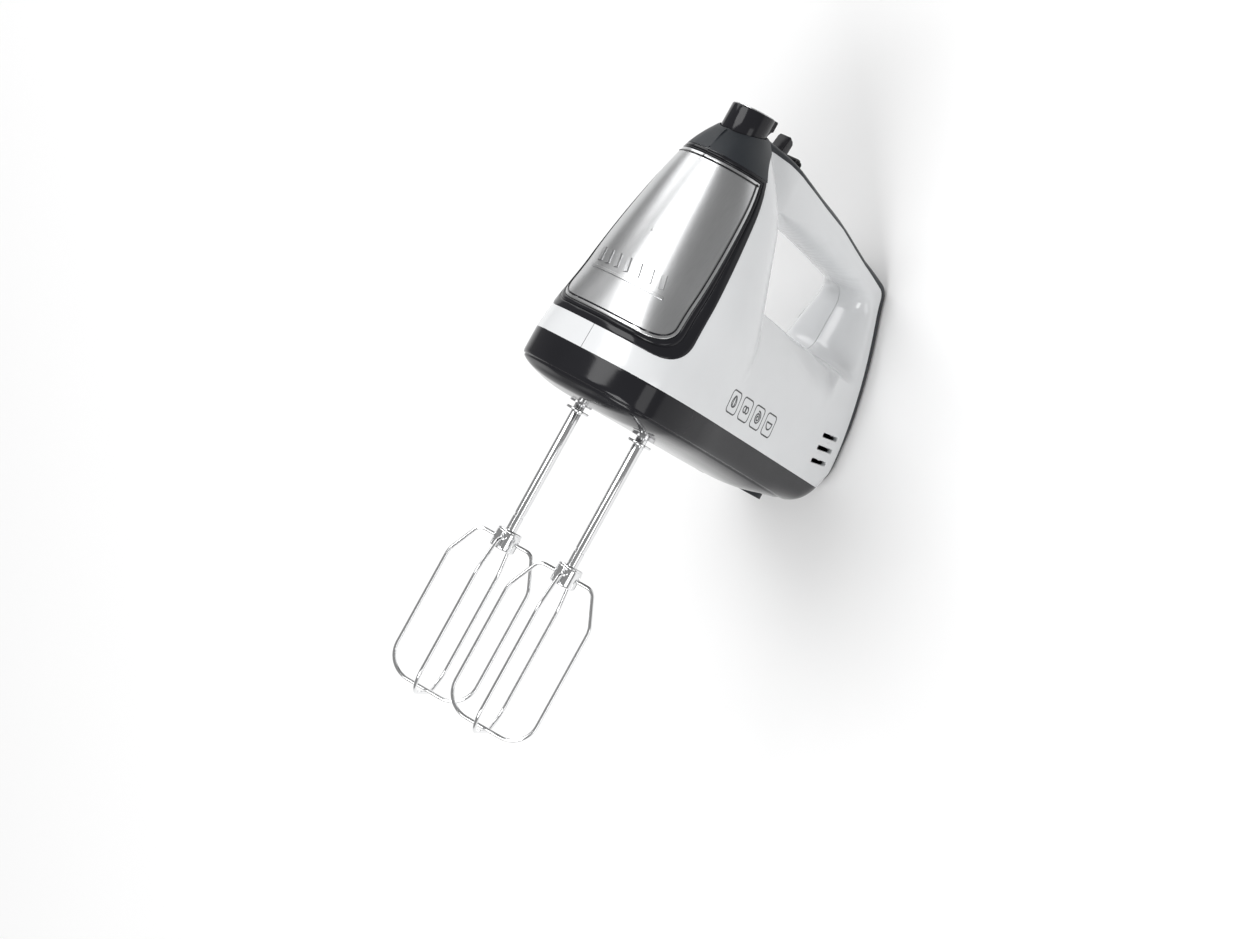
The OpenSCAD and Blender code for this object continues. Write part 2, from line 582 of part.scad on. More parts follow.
module eject_spring() color([0.75, 0.75, 0.78]) parked()
    translate([rod_pos_x, 0, guide_z + 2.55]) coil(3, 0.45, 13.8, 6);

left_shell();
right_shell();
base_cover();
soft_touch_cover();
front_frame();
front_plate();
cord_inlet();
gear_case();
gear_cover();
spindle_bushes();
motor_stator();
field_coils();
front_bracket();
rear_bracket();
motor_bearings();
brush_holders();
carbon_brushes();
brush_springs();
circuit_board();
heat_sink();
rotary_switch();
turbo_switch();
eject_guide();
housing_screws();
motor_shaft();
armature_core();
armature_winding();
commutator();
cooling_fan();
left_worm_wheel();
left_drive_sleeve();
right_worm_wheel();
right_drive_sleeve();
left_beater_shaft();
left_beater_collar();
left_beater_hub();
left_beater_wires();
right_beater_shaft();
right_beater_collar();
right_beater_hub();
right_beater_wires();
speed_dial();
dial_cap();
dial_spindle();
turbo_button();
eject_button();
eject_rod();
eject_yoke();
eject_spring();
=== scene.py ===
"""Hand mixer parked on its rear heel, with two wire beaters.

Every shape is worked out in the mixer's working position, in millimetres: x runs to the rear,
y to its right and z up away from the beaters, with the two spindles at x = 0 and the underside
at z = 0. parked() turns finished points onto the heel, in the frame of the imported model.
"""
import json

import bmesh
import bpy
import numpy as np
from mathutils import Matrix, Vector


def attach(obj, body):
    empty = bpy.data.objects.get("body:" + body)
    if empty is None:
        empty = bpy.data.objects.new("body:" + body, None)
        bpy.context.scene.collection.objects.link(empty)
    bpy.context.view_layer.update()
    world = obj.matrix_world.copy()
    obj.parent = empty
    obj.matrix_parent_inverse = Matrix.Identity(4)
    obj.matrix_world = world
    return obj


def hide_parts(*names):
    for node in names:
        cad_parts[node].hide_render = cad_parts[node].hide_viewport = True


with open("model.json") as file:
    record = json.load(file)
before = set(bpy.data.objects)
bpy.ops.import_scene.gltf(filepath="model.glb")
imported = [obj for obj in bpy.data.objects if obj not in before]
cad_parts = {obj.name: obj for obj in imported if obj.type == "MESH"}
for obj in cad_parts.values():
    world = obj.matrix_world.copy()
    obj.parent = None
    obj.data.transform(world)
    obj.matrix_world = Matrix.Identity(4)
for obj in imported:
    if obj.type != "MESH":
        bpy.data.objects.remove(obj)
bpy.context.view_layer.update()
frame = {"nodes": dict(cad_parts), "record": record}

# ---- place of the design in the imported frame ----

LEAN = np.radians(10)
HEEL_X, HEEL_Z = -47.7, 155.4
MM = 0.001


def parked(p):
    """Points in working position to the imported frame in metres: a turn by a right angle and
    LEAN about y, then the heel's centre moved to the origin."""
    x, y, z = np.moveaxis(np.asarray(p, float), -1, 0)
    s, c = np.sin(LEAN), np.cos(LEAN)
    return MM * np.stack([HEEL_X - x * s + z * c, y, HEEL_Z - x * c - z * s], -1)


def heel_at(z):
    """x of the flat heel at height z."""
    return (HEEL_Z - z * np.sin(LEAN)) / np.cos(LEAN)


# ---- form of the body: half width at each point of its side view ----

def ease(d, r, n):
    """Rounded edge: 0 at the rim and 1 from depth r on, as a superellipse of power n."""
    u = np.clip(1 - np.maximum(d, 0) / r, 0, 1)
    return np.maximum(0, 1 - u ** n) ** (1 / n)


def larger(a, b, k):
    """Greater of a and b, with the corner between them rounded over about k."""
    return (a + b + np.sqrt((a - b) ** 2 + k * k)) / 2


def lesser(a, b, k):
    """Smaller of a and b, with the corner between them rounded over about k."""
    return (a + b - np.sqrt((a - b) ** 2 + k * k)) / 2


def step(a, b, v):
    """0 on the far side of a and 1 beyond b, with a smooth cubic between."""
    u = np.clip((v - a) / (b - a), 0, 1)
    return u * u * (3 - 2 * u)


def tower_width(z):
    """Half width of the front tower: full low down, then narrowing in a line and a parabola."""
    u = z - 59
    return 43.2 - 0.27 * (u + np.sqrt(u * u + 64)) / 2 - 0.0068 * np.maximum(0, z - 105) ** 2


def nose_line(z):
    """Front of the tower, leaning back as a parabola that steepens over the dome."""
    return -48.7 + 0.00077 * z * z + 0.0145 * np.maximum(0, z - 122) ** 2


def whole_width(x, z):
    """Half width before the edges are rounded: the tower's oval plan joined to the rear body,
    whose side wall leans in to a creased shoulder and runs on up into the grip."""
    deep = tower_width(z) * (1 + 0.12 * np.maximum(0, 1 - z / 61))
    centre = nose_line(z) + deep
    fall = np.maximum(0, 1 - (np.maximum(0, x - centre) / deep) ** 2.4) ** (1 / 2.4)
    plan = 28.4 + 14.8 * (1 - np.clip((x - 2) / 148, 0, 1) ** 1.25)
    side = plan - (11 - 0.056 * x) * (np.maximum(0, z - 20) / 45) ** 2
    shoulder = (25 - 6 * step(45, 115, x) + 0.78 * (75 - z) + 60 * step(110, 132, x)
                + 30 * step(95, 110, z))
    grip = 6 + 8.2 * step(-12, 20, x)
    rear = larger(lesser(side, shoulder, 1.5), grip, 3)
    nose = ease(x - nose_line(z), deep, 2.8 - 0.75 * step(20, 62, z))
    return larger(tower_width(z) * fall, rear, 2) * nose


def unit(v):
    """Vectors brought to length 1."""
    return v / np.maximum(np.linalg.norm(v, axis=-1, keepdims=True), 1e-12)


ARC_STEPS = 12


def arc(a, b, c, r):
    """Arc of radius r that touches the two lines from corner b to a and to c."""
    a, b, c = (np.array(p[:2], float) for p in (a, b, c))
    u, v = unit(a - b), unit(c - b)
    half = np.arccos(np.clip(u @ v, -1, 1)) / 2
    centre = b + unit(u + v) * r / np.sin(half)
    p, q = b + u * r / np.tan(half) - centre, b + v * r / np.tan(half) - centre
    start = np.arctan2(p[1], p[0])
    sweep = (np.arctan2(q[1], q[0]) - start + np.pi) % (2 * np.pi) - np.pi
    angle = start + sweep * np.linspace(0, 1, ARC_STEPS + 1)
    return centre + r * np.stack([np.cos(angle), np.sin(angle)], -1)


def rounded(corners, closed=True):
    """Line through corners [x, z, radius], each of them turned into an arc."""
    n = len(corners)
    bends = range(n) if closed else range(1, n - 1)
    arcs = [arc(corners[i - 1], corners[i], corners[(i + 1) % n], corners[i][2]) for i in bends]
    return np.vstack(arcs if closed else [[corners[0][:2]], *arcs, [corners[-1][:2]]])


def fine(line, parts=60):
    """The same line with each of its runs divided into equal parts."""
    t = np.linspace(0, 1, parts, endpoint=False)[None, :, None]
    return (line[:-1, None] + (line[1:, None] - line[:-1, None]) * t).reshape(-1, 2)


# the side view's outline and finger opening: corners as x, z and the radius of each
OUTLINE = rounded([[137, 124.2, 9], [75, 138.2, 250], [8, 145, 150], [-14, 145.6, 20],
                   [-31.5, 139.5, 14], [-38.2, 121, 60], [-46.6, 58, 250], [-49.3, 8.5, 9],
                   [-40, 1.8, 12], [-22, 0, 60], [90, 0, 150], [144, 7.5, 25], [154.6, 24, 12]])
OUTLINE = fine(np.vstack([OUTLINE, OUTLINE[:1]]), 12)
ON_NOSE = (OUTLINE[:, 0] < -30) & (OUTLINE[:, 1] > 9) & (OUTLINE[:, 1] < 120)
OUTLINE[ON_NOSE, 0] = nose_line(OUTLINE[ON_NOSE, 1])
OPENING = rounded([[121.5, 112.5, 9], [16.5, 118.5, 6], [26, 78.5, 5], [121, 77.5, 8]])
OPENING_C = np.array([70, 96])


def reach(line):
    """Distance of a closed line from the opening's centre, as a function of the angle."""
    p = fine(np.vstack([line, line[:1]]), 24) - OPENING_C
    angle, far = np.degrees(np.arctan2(p[:, 1], p[:, 0])), np.hypot(p[:, 0], p[:, 1])
    return lambda q: np.interp(q, angle, far, period=360)


outer_r, inner_r = reach(OUTLINE), reach(OPENING)


def half_width(x, z):
    """Half width of the finished body: the whole width times a rounded edge along the outline
    and another round the finger opening, whose radii change with the angle about it."""
    dx, dz = x - OPENING_C[0], z - OPENING_C[1]
    q, r = np.degrees(np.arctan2(dz, dx)) % 360, np.hypot(dx, dz)
    inner, outer = inner_r(q), outer_r(q)
    room = (outer - inner) / 2
    edge = np.interp(q, [0, 22, 40, 115, 140, 156, 165, 207, 214, 222, 318, 332, 360],
                     [8, 8, 9, 9, 6, 3, 2, 2, 8, 15, 15, 8, 8])
    power = np.interp(q, [0, 22, 40, 140, 210, 222, 318, 332, 360],
                      [5, 4, 2.3, 2.2, 2.4, 2.8, 2.8, 5, 5])
    lip = np.interp(q, [0, 22, 34, 140, 156, 198, 212, 315, 350, 360],
                    [18, 17, 12, 12, 6, 5, 4, 4, 17, 18])
    turned_in = ease(outer - r, np.minimum(edge, room), power)
    on_nose = (1 - step(-38, -25, x)) * step(4, 10, z) * (1 - step(118, 128, z))
    return (whole_width(x, z) * ease(r - inner, np.minimum(lip, room), 2)
            * (turned_in + (1 - turned_in) * on_nose))


# ---- surfaces as grids of points, rows by columns ----

def along(x, y, count):
    """Each row of a line given as x and y, read at count points equally far apart along it."""
    walked = np.cumsum(np.hypot(np.diff(x, axis=1), np.diff(y, axis=1)), axis=1)
    walked = np.hstack([np.zeros((len(x), 1)), walked])
    share = np.linspace(0, 1, count)
    rows = [(np.interp(share * w[-1], w, a), np.interp(share * w[-1], w, b))
            for w, a, b in zip(walked, x, y)]
    return np.array([r[0] for r in rows]), np.array([r[1] for r in rows])


def outward(p):
    """Unit normals of a grid, on the side away from the middle plane y = 0."""
    n = unit(np.cross(np.gradient(p, axis=0), np.gradient(p, axis=1)))
    return n if np.sum(n[..., 1] * p[..., 1]) > 0 else -n


ROLL_STEPS = 5


def rolled(p, radius, depth):
    """The grid with an edge after its last row: a quarter circle of that radius that leaves
    the surface along its tangent, then a wall straight in to depth."""
    ahead = unit(p[-1] - p[-2])
    n = unit(np.cross(ahead, np.gradient(p[-1], axis=0)))
    n = n if np.sum(n[:, 1] * p[-1, :, 1]) > 0 else -n
    a = np.linspace(0, np.pi / 2, ROLL_STEPS + 1)[1:, None, None]
    quarter = p[-1] + radius * (np.sin(a) * ahead - (1 - np.cos(a)) * n)
    return np.concatenate([p, quarter, quarter[-1:] - n * depth])


def mirrored(p):
    """A grid of the left side carried across the centre line onto the right side."""
    return np.concatenate([p, (p * [1, -1, 1])[:, -2::-1]], axis=1)


def quads(p, keep=None, wrap_rows=False, wrap_columns=False):
    """Points and four-cornered faces of a grid; keep says which face centres stay."""
    rows, columns = p.shape[:2]
    index = np.arange(rows * columns).reshape(rows, columns)
    if wrap_rows:
        index = np.vstack([index, index[:1]])
    if wrap_columns:
        index = np.hstack([index, index[:, :1]])
    faces = np.stack([index[:-1, :-1], index[:-1, 1:], index[1:, 1:], index[1:, :-1]], -1)
    faces, points = faces.reshape(-1, 4), p.reshape(-1, 3)
    if keep is not None:
        faces = faces[keep(points[faces].mean(1))]
    return points, faces


def piece(name, grids, finish, body, stands_for=(), crease=40):
    """One mesh of several grids, welded, facing outwards, smooth but for creases sharper than
    that angle, riding on a body of the frame and standing for CAD nodes."""
    points, faces, start = [], [], 0
    for p, f in grids:
        points.append(p)
        faces.append(f + start)
        start += len(p)
    mesh = bpy.data.meshes.new(name)
    mesh.from_pydata(parked(np.vstack(points)), [], np.vstack(faces).tolist())
    work = bmesh.new()
    work.from_mesh(mesh)
    bmesh.ops.remove_doubles(work, verts=work.verts, dist=3e-6)
    bmesh.ops.dissolve_degenerate(work, edges=work.edges, dist=1e-6)
    bmesh.ops.delete(work, geom=[v for v in work.verts if not v.link_faces], context="VERTS")
    bmesh.ops.recalc_face_normals(work, faces=work.faces)
    work.to_mesh(mesh)
    work.free()
    mesh.shade_smooth()
    mesh.set_sharp_from_angle(angle=np.radians(crease))
    mesh.materials.append(finish.material)
    thing = bpy.data.objects.new(name, mesh)
    bpy.context.scene.collection.objects.link(thing)
    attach(thing, body)
    if stands_for:
        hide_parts(*stands_for)
    return thing


# ---- finishes ----

class Measure:
    """A number that varies over a surface. Python's operators on it add Math nodes."""

    def __init__(self, finish, socket):
        self.finish, self.socket = finish, socket

    def made(self, operation, a, b):
        """The measure that one Math node makes of a and b."""
        return Measure(self.finish, self.finish.node(
            "ShaderNodeMath", {"operation": operation}, {0: a, 1: b}).outputs[0])

    def __add__(self, other):
        return self.made("ADD", self, other)

    def __radd__(self, other):
        return self.made("ADD", other, self)

    def __sub__(self, other):
        return self.made("SUBTRACT", self, other)

    def __rmul__(self, other):
        return self.made("MULTIPLY", other, self)


class Finish:
    """A material on object coordinates, with its constants on the shader's own sockets."""

    def __init__(self, name, **constants):
        self.material = bpy.data.materials.new(name)
        self.material.use_nodes = True
        self.tree = self.material.node_tree
        self.shader = self.tree.nodes["Principled BSDF"]
        for socket, value in constants.items():
            self.shader.inputs[socket.replace("_", " ")].default_value = value
        self.place = self.node("ShaderNodeTexCoord").outputs["Object"]

    def node(self, kind, settings=None, inputs=None):
        """Adds a node, sets it up, and gives its sockets values or links."""
        made = self.tree.nodes.new(kind)
        for key, value in (settings or {}).items():
            setattr(made, key, value)
        for key, value in (inputs or {}).items():
            self.feed(made.inputs[key], value)
        return made

    def feed(self, socket, value):
        """Links a socket to a measure or another socket, or sets its value."""
        value = value.socket if isinstance(value, Measure) else value
        if isinstance(value, bpy.types.NodeSocket):
            self.tree.links.new(value, socket)
        else:
            socket.default_value = value

    def noise(self, per_metre, detail=2.0, stretch=(1, 1, 1), turn=(0, 0, 0)):
        """Noise between 0 and 1, with about that many lumps in a metre along each axis."""
        where = self.node("ShaderNodeMapping", {}, {
            "Vector": self.place, "Rotation": turn, "Scale": stretch}).outputs[0]
        return Measure(self, self.node("ShaderNodeTexNoise", {}, {
            "Vector": where, "Scale": per_metre, "Detail": detail}).outputs[0])

    def colour(self, low, high, share):
        """Base colour between two colours, by a measure."""
        mix = self.node("ShaderNodeMix", {"data_type": "RGBA"}, {0: share})
        mix.inputs[6].default_value = (*low, 1)
        mix.inputs[7].default_value = (*high, 1)
        self.feed(self.shader.inputs["Base Color"], mix.outputs[2])

    def roughness(self, measure):
        """Uneven gloss, by a measure."""
        self.feed(self.shader.inputs["Roughness"], measure)

    def relief(self, height, depth):
        """Bump of that depth in metres."""
        bump = self.node("ShaderNodeBump", {}, {
            "Height": height, "Distance": depth, "Strength": 1.0})
        self.feed(self.shader.inputs["Normal"], bump.outputs[0])


def moulded(name, low, high, rough, spread, grain, depth, **constants):
    """Moulded plastic: faint uneven colour, uneven gloss, and a grain as fine as grain."""
    made = Finish(name, **constants)
    made.colour(low, high, made.noise(45))
    made.roughness(rough + spread * (made.noise(130, 3.0) - 0.5))
    made.relief(made.noise(grain, 1.0), depth)
    return made


def metal(name, low, high, rough, spread, stretch=(1, 1, 1), turn=(0, 0, 0), depth=1e-5,
          per_metre=900, **constants):
    """Metal with fine marks drawn out along one way, in its colour, gloss and relief."""
    made = Finish(name, Metallic=1.0, **constants)
    marks = made.noise(per_metre, 3.0, stretch, turn)
    made.colour(low, high, marks)
    made.roughness(rough + spread * (marks - 0.5) + 0.5 * spread * (made.noise(60) - 0.5))
    made.relief(marks, depth)
    return made


# noise turned to lie along the mixer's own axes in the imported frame
TURN_UP = (0, LEAN, 0)
FINISHES = {
    "white_shell": moulded("white shell", (0.70, 0.71, 0.72), (0.75, 0.76, 0.77), 0.2, 0.08,
                           900, 6e-6, Coat_Weight=0.35, Coat_Roughness=0.06),
    "gloss_black": moulded("gloss black", (0.010, 0.010, 0.012), (0.016, 0.016, 0.019), 0.12,
                           0.08, 700, 5e-6, Specular_IOR_Level=0.25),
    "soft_touch": moulded("soft touch", (0.014, 0.017, 0.021), (0.020, 0.024, 0.029), 0.5,
                          0.12, 5200, 3e-5, Specular_IOR_Level=0.4),
    "brushed_plate": metal("brushed plate", (0.50, 0.505, 0.51), (0.62, 0.625, 0.63), 0.3,
                           0.06, (1, 40, 1), TURN_UP, 5e-6, 190),
    "chrome_wire": metal("chrome", (0.76, 0.765, 0.77), (0.84, 0.845, 0.85), 0.09, 0.06,
                         (1, 1, 1), (0, 0, 0), 3e-6, 420),
    "silver_cap": metal("silver cap", (0.62, 0.625, 0.63), (0.74, 0.745, 0.75), 0.24, 0.1,
                        (1, 25, 25), TURN_UP, 6e-6, 300),
    "gear_plastic": moulded("gear plastic", (0.62, 0.61, 0.56), (0.72, 0.71, 0.66), 0.42, 0.1,
                            1500, 1e-5),
    "bronze": metal("bronze", (0.42, 0.24, 0.09), (0.55, 0.33, 0.14), 0.34, 0.16),
    "motor_iron": metal("laminated iron", (0.20, 0.20, 0.21), (0.34, 0.34, 0.35), 0.42, 0.2,
                        (30, 1, 1), TURN_UP, 2e-5, 120),
    "copper": metal("copper wire", (0.55, 0.24, 0.10), (0.78, 0.38, 0.18), 0.3, 0.15,
                    (1, 20, 20), TURN_UP, 4e-5, 160),
    "cast_bracket": metal("cast bracket", (0.42, 0.43, 0.44), (0.55, 0.56, 0.57), 0.45, 0.15,
                          (1, 1, 1), (0, 0, 0), 4e-5, 1400),
    "carbon": moulded("carbon", (0.012, 0.012, 0.012), (0.03, 0.03, 0.03), 0.5, 0.15, 3000,
                      2e-5),
    "spring_steel": metal("spring steel", (0.5, 0.5, 0.51), (0.66, 0.66, 0.67), 0.22, 0.1),
    "board": moulded("circuit board", (0.02, 0.11, 0.05), (0.03, 0.17, 0.08), 0.35, 0.12, 800,
                     8e-6),
}
PRINT = moulded("dark print", (0.020, 0.021, 0.023), (0.030, 0.031, 0.034), 0.4, 0.1, 1200, 4e-6)

for subpart in frame["record"]["subparts"]:
    mesh = frame["nodes"][subpart["node"]].data
    mesh.materials.clear()
    mesh.materials.append(FINISHES[subpart["material_slot"]].material)

# ---- base, shells and soft-touch cover ----

SPLIT_Z = 20.7  # top of the base
SINK = 0.3  # of the white shells under the form
BASE_INSET = 0.25
GROOVE_Z, GROOVE_DEPTH, GROOVE_HALF = 7.1, 0.45, 0.42  # line pressed in round the base
EDGE_ROLL, EDGE_WALL = 0.5, 2.0  # rolled edges of the dark skins
FRONT = OUTLINE[OUTLINE[:, 0] < -15]
FRONT = FRONT[np.argsort(FRONT[:, 1])]
BACK = OUTLINE[(OUTLINE[:, 0] > 89) & (OUTLINE[:, 1] < 40)]
BACK = BACK[np.argsort(BACK[:, 1])]


def front_at(z):
    """x of the outline's front at height z."""
    return np.interp(z, FRONT[:, 1], FRONT[:, 0])


def level(z, side_count, end_count):
    """Half of each level section of the base at heights z: round the left side from the nose
    to the heel, then straight in to the centre line."""
    x0 = front_at(z)[:, None]
    x1 = np.minimum(np.interp(z, BACK[:, 1], BACK[:, 0]), heel_at(z))[:, None]
    share = (1 - np.cos(np.pi * np.linspace(0, 1, 500))) / 2
    x = x0 + (x1 - x0) * share
    y = half_width(x, z[:, None] + 0 * x)
    y[:, 0] = 0
    y[z < 1e-6] = 0  # the underside closes on the centre line
    x, y = along(x, y, side_count)
    t = np.linspace(0, 1, end_count + 1)[1:]
    x, y = np.hstack([x, x1 + 0 * t]), np.hstack([y, y[:, -1:] * (1 - t)])
    return np.stack([x, -y, np.broadcast_to(z[:, None], x.shape)], -1)


def base_skin():
    """Level sections from the joint down to the underside, closer together where the base
    turns under, with a shallow line pressed in all round and a rolled upper edge."""
    drop = np.concatenate([np.linspace(SPLIT_Z, 8.2, 14), np.linspace(8, 6.2, 14),
                           6 * (1 - np.sin(np.linspace(0.05, 1, 36) * np.pi / 2))])
    p = mirrored(level(drop, 300, 10))
    groove = GROOVE_DEPTH * np.exp(-((drop - GROOVE_Z) / GROOVE_HALF) ** 2)
    press = BASE_INSET * step(0.1, 3, drop) + groove
    p = p - outward(p) * press[:, None, None]
    return rolled(p[::-1], 0.45, EDGE_WALL)


piece("base_skin", [quads(base_skin())], FINISHES["gloss_black"], "housing",
      ["base_cover"], 50)

FRAME_Z, DOME_Z = 32.6, 125.6
PLATE_Z, PLATE_TOP = 38.5, 123
SPINE = np.vstack([[[-60, DOME_Z], [-15.4, DOME_Z]],
                   arc([-15.4, DOME_Z], [-15, 141.6], [8, 141.9], 14), [[8, 141.9], [75, 135.1]],
                   arc([75, 135.1], [132.6, 121.7], [150.4, SPLIT_Z], 6), [[150.4, SPLIT_Z]]])
LINE = fine(SPINE) - OPENING_C
LINE_Q = np.degrees(np.arctan2(LINE[:, 1], LINE[:, 0]))
HEEL_Q, NOSE_Q = LINE_Q[-1], 165.9
BY_ANGLE = np.argsort(LINE_Q)
LINE_Q, LINE_R = LINE_Q[BY_ANGLE], np.hypot(LINE[:, 0], LINE[:, 1])[BY_ANGLE]
COVER_PAST = 1.2  # the cover reaches that far below its line, but at the nose


def cover_edge(q):
    """Distance of the soft-touch cover's edge from the opening's centre at angle q."""
    return np.interp(q, LINE_Q, LINE_R) - COVER_PAST * (1 - step(140, 155, q))


def split_edge(q, z=SPLIT_Z):
    """Distance of a level line below the opening from its centre at angle q."""
    fall = -np.sin(np.radians(q))
    return np.where(fall > 0.05, (OPENING_C[1] - z) / np.maximum(fall, 0.05), 1e3)


def heel_edge(q):
    """Distance of the flat heel from the opening's centre at angle q."""
    a = np.radians(q)
    toward = np.cos(a) * np.cos(LEAN) + np.sin(a) * np.sin(LEAN)
    room = HEEL_Z - OPENING_C[0] * np.cos(LEAN) - OPENING_C[1] * np.sin(LEAN)
    return np.where(toward > 0.05, room / np.maximum(toward, 0.05), 1e3)


def polar(q, r):
    """Side view point at angle q and distance r from the opening's centre."""
    a = np.radians(q)
    return OPENING_C[0] + r * np.cos(a), OPENING_C[1] + r * np.sin(a)


def cover_skin():
    """Rays from the opening's centre, each read from the cover's edge over the outline on the
    left side and down again on the right, flat across the heel."""
    q = np.concatenate([np.linspace(HEEL_Q, 20, 130), np.linspace(20.5, 158, 300),
                        np.linspace(158.2, NOSE_Q, 70)])[:, None]
    start = cover_edge(q)
    stop = np.maximum(np.minimum(np.minimum(outer_r(q), heel_edge(q)), split_edge(q)), start)
    r = start + (stop - start) * np.sin(np.linspace(0, 1, 160) * np.pi / 2)
    x, z = polar(q, r)
    y = half_width(x, z)
    y[:, -1] = np.where(stop[:, 0] >= outer_r(q)[:, 0] - 1e-6, 0, y[:, -1])
    r, y = along(r, y, 46)
    t = np.linspace(0, 1, 9)[1:]
    r, y = np.hstack([r, r[:, -1:] + 0 * t]), np.hstack([y, y[:, -1:] * (1 - t)])
    x, z = polar(q, r)
    return mirrored(np.stack([x, -y, z], -1))


def box_depth(u, v, box):
    """Distance outside a rounded box [centre u, centre v, half u, half v, radius], below 0
    inside it."""
    cu, cv, hu, hv, r = box
    du, dv = np.abs(u - cu) - hu + r, np.abs(v - cv) - hv + r
    return np.hypot(np.maximum(du, 0), np.maximum(dv, 0)) + np.minimum(np.maximum(du, dv), 0) - r


BOX_POINTS = 96


def box_path(box, grow=0.0):
    """Closed path round a rounded box grown by that much, with matching points at any size."""
    cu, cv, hu, hv, r = box
    a = np.linspace(0, 2 * np.pi, BOX_POINTS, endpoint=False) + np.pi / BOX_POINTS
    corner_u, corner_v = np.sign(np.cos(a)) * (hu - r), np.sign(np.sin(a)) * (hv - r)
    return np.stack([cu + corner_u + (r + grow) * np.cos(a),
                     cv + corner_v + (r + grow) * np.sin(a)], -1)


# rounded boxes as above: on the top in x and y, on the sides in x and z
DIAL_X, DIAL_R, DIAL_Z, DIAL_TOP = -19, 10.5, 137.2, 150.7
DIAL_WELL = [DIAL_X, 0, DIAL_R + 0.4, DIAL_R + 0.4, DIAL_R + 0.399]
EJECT_SLOT, TURBO_SLOT = [12.5, 0, 3.9, 4, 0.8], [27, 0, 3.3, 3.8, 0.8]
TOP_WELLS = [DIAL_WELL, EJECT_SLOT, TURBO_SLOT]
VENTS = [[129, z, 9, 1.1, 1.09] for z in (44.7, 38.2, 31.3)]
SCREWS = [[x, z, 3.1, 3.1, 3.09] for x, z in ((60, 129), (133, 95), (110, 48))]
SCREW_SEATS = [8, 12, 24]  # y of the floor that each screw's head sits on
HOLE_EDGE = 0.7
WELL_WALL, VENT_WALL = 5, 2.4


def clear_of(boxes, u, v):
    """True at the faces that lie outside every one of the boxes."""
    return np.all([box_depth(u, v, box) > HOLE_EDGE for box in boxes], axis=0)


def top_height(x, y):
    """Height of the top at (x, y), by halving the interval in which the half width passes y."""
    low, high = np.full(x.shape, 128.0), np.full(x.shape, 147.0)
    for _ in range(28):
        half_way = (low + high) / 2
        inside = half_width(x, half_way) > np.abs(y)
        low, high = np.where(inside, half_way, low), np.where(inside, high, half_way)
    return low


def vent_rise(x):
    """The cooling slots curve up towards the rear."""
    return 1.8 * step(126, 139, x) ** 1.5


RIM_GROW = [1.7, 0.9, 0.45, 0.25, 0.08, 0, 0]
RIM_SINK = [-0.02, -0.02, -0.02, 0.06, 0.22, 0.45]


def well(box, place, inward, depth):
    """Rim of an opening: a flange that lies just over the skin, a rounded lip, and a wall
    straight in. place() gives skin points for a path of the box."""
    rows = [place(*box_path(box, grow).T) + np.array(inward) * sink
            for grow, sink in zip(RIM_GROW, [*RIM_SINK, depth])]
    return quads(np.array(rows), wrap_columns=True)


def on_top(x, y):
    """Points of the top above (x, y)."""
    return np.stack([x, y, top_height(x, y)], -1)


def on_side(side, rise=None):
    """Gives points of one white side wall for paths in x and z."""
    def place(x, z):
        z = z + (rise(x) if rise else 0)
        return np.stack([x, side * (half_width(x, z) - SINK), z], -1)
    return place


def off_wells(c):
    """Cover faces that stay: those low down, and on top those off the wells."""
    return (c[:, 2] < 130) | clear_of(TOP_WELLS, c[:, 0], c[:, 1])


cover = rolled(cover_skin().transpose(1, 0, 2), EDGE_ROLL, EDGE_WALL)
cover = rolled(cover[::-1], EDGE_ROLL, EDGE_WALL)
piece("soft_cover_skin", [quads(cover, off_wells)]
      + [well(box, on_top, (0, 0, -1), WELL_WALL) for box in TOP_WELLS],
      FINISHES["soft_touch"], "housing", ["soft_touch_cover"], 50)

FRAME_ARC = arc([-60, FRAME_Z], [-28.5, FRAME_Z], [-15.4, DOME_Z], 15)
PLATE_ARC = arc([-60, PLATE_Z], [-35.8, PLATE_Z], [-20, PLATE_TOP], 12)


SEAM = 0.12  # half the gap between the two shells
UNDER_COVER, UNDER_BASE = 1, 1.2  # how far the shells run on under the dark parts


def shell_skin():
    """Left half of the white body: rays from the opening's rim to the edge of the base, cover
    or nose, sunk a little below the dark parts, with a lip turned in along the seam."""
    q = np.linspace(0, 360, 720, endpoint=False)[:, None]
    signed = np.where(q > 200, q - 360, q)
    stop = outer_r(q)
    to_cover = cover_edge(signed) + UNDER_COVER
    stop = np.where(signed < NOSE_Q, np.minimum(stop, to_cover), stop)
    to_base = np.minimum(split_edge(q, SPLIT_Z - UNDER_BASE), np.where(q > 300, to_cover, 1e3))
    stop = np.where((q > 195) & (q < 345), np.minimum(outer_r(q), to_base), stop)
    start = inner_r(q)
    r = start + (stop - start) * (1 - np.cos(np.linspace(0, 1, 105) * np.pi)) / 2
    x, z = polar(q, r)
    p = np.stack([x, -np.maximum(half_width(x, z), SEAM), z], -1)
    p[:, -1, 1] = np.where(stop[:, 0] > outer_r(q)[:, 0] - 1e-6, -SEAM, p[:, -1, 1])
    closed = np.concatenate([p[-1:], p, p[:1]])
    p = p - SINK * outward(closed)[1:-1]
    p[..., 1] = np.minimum(p[..., 1], -SEAM)
    inner = p[:, :1] + np.stack([np.cos(np.radians(q)), 0 * q, np.sin(np.radians(q))], -1)
    return np.concatenate([inner, p], axis=1)


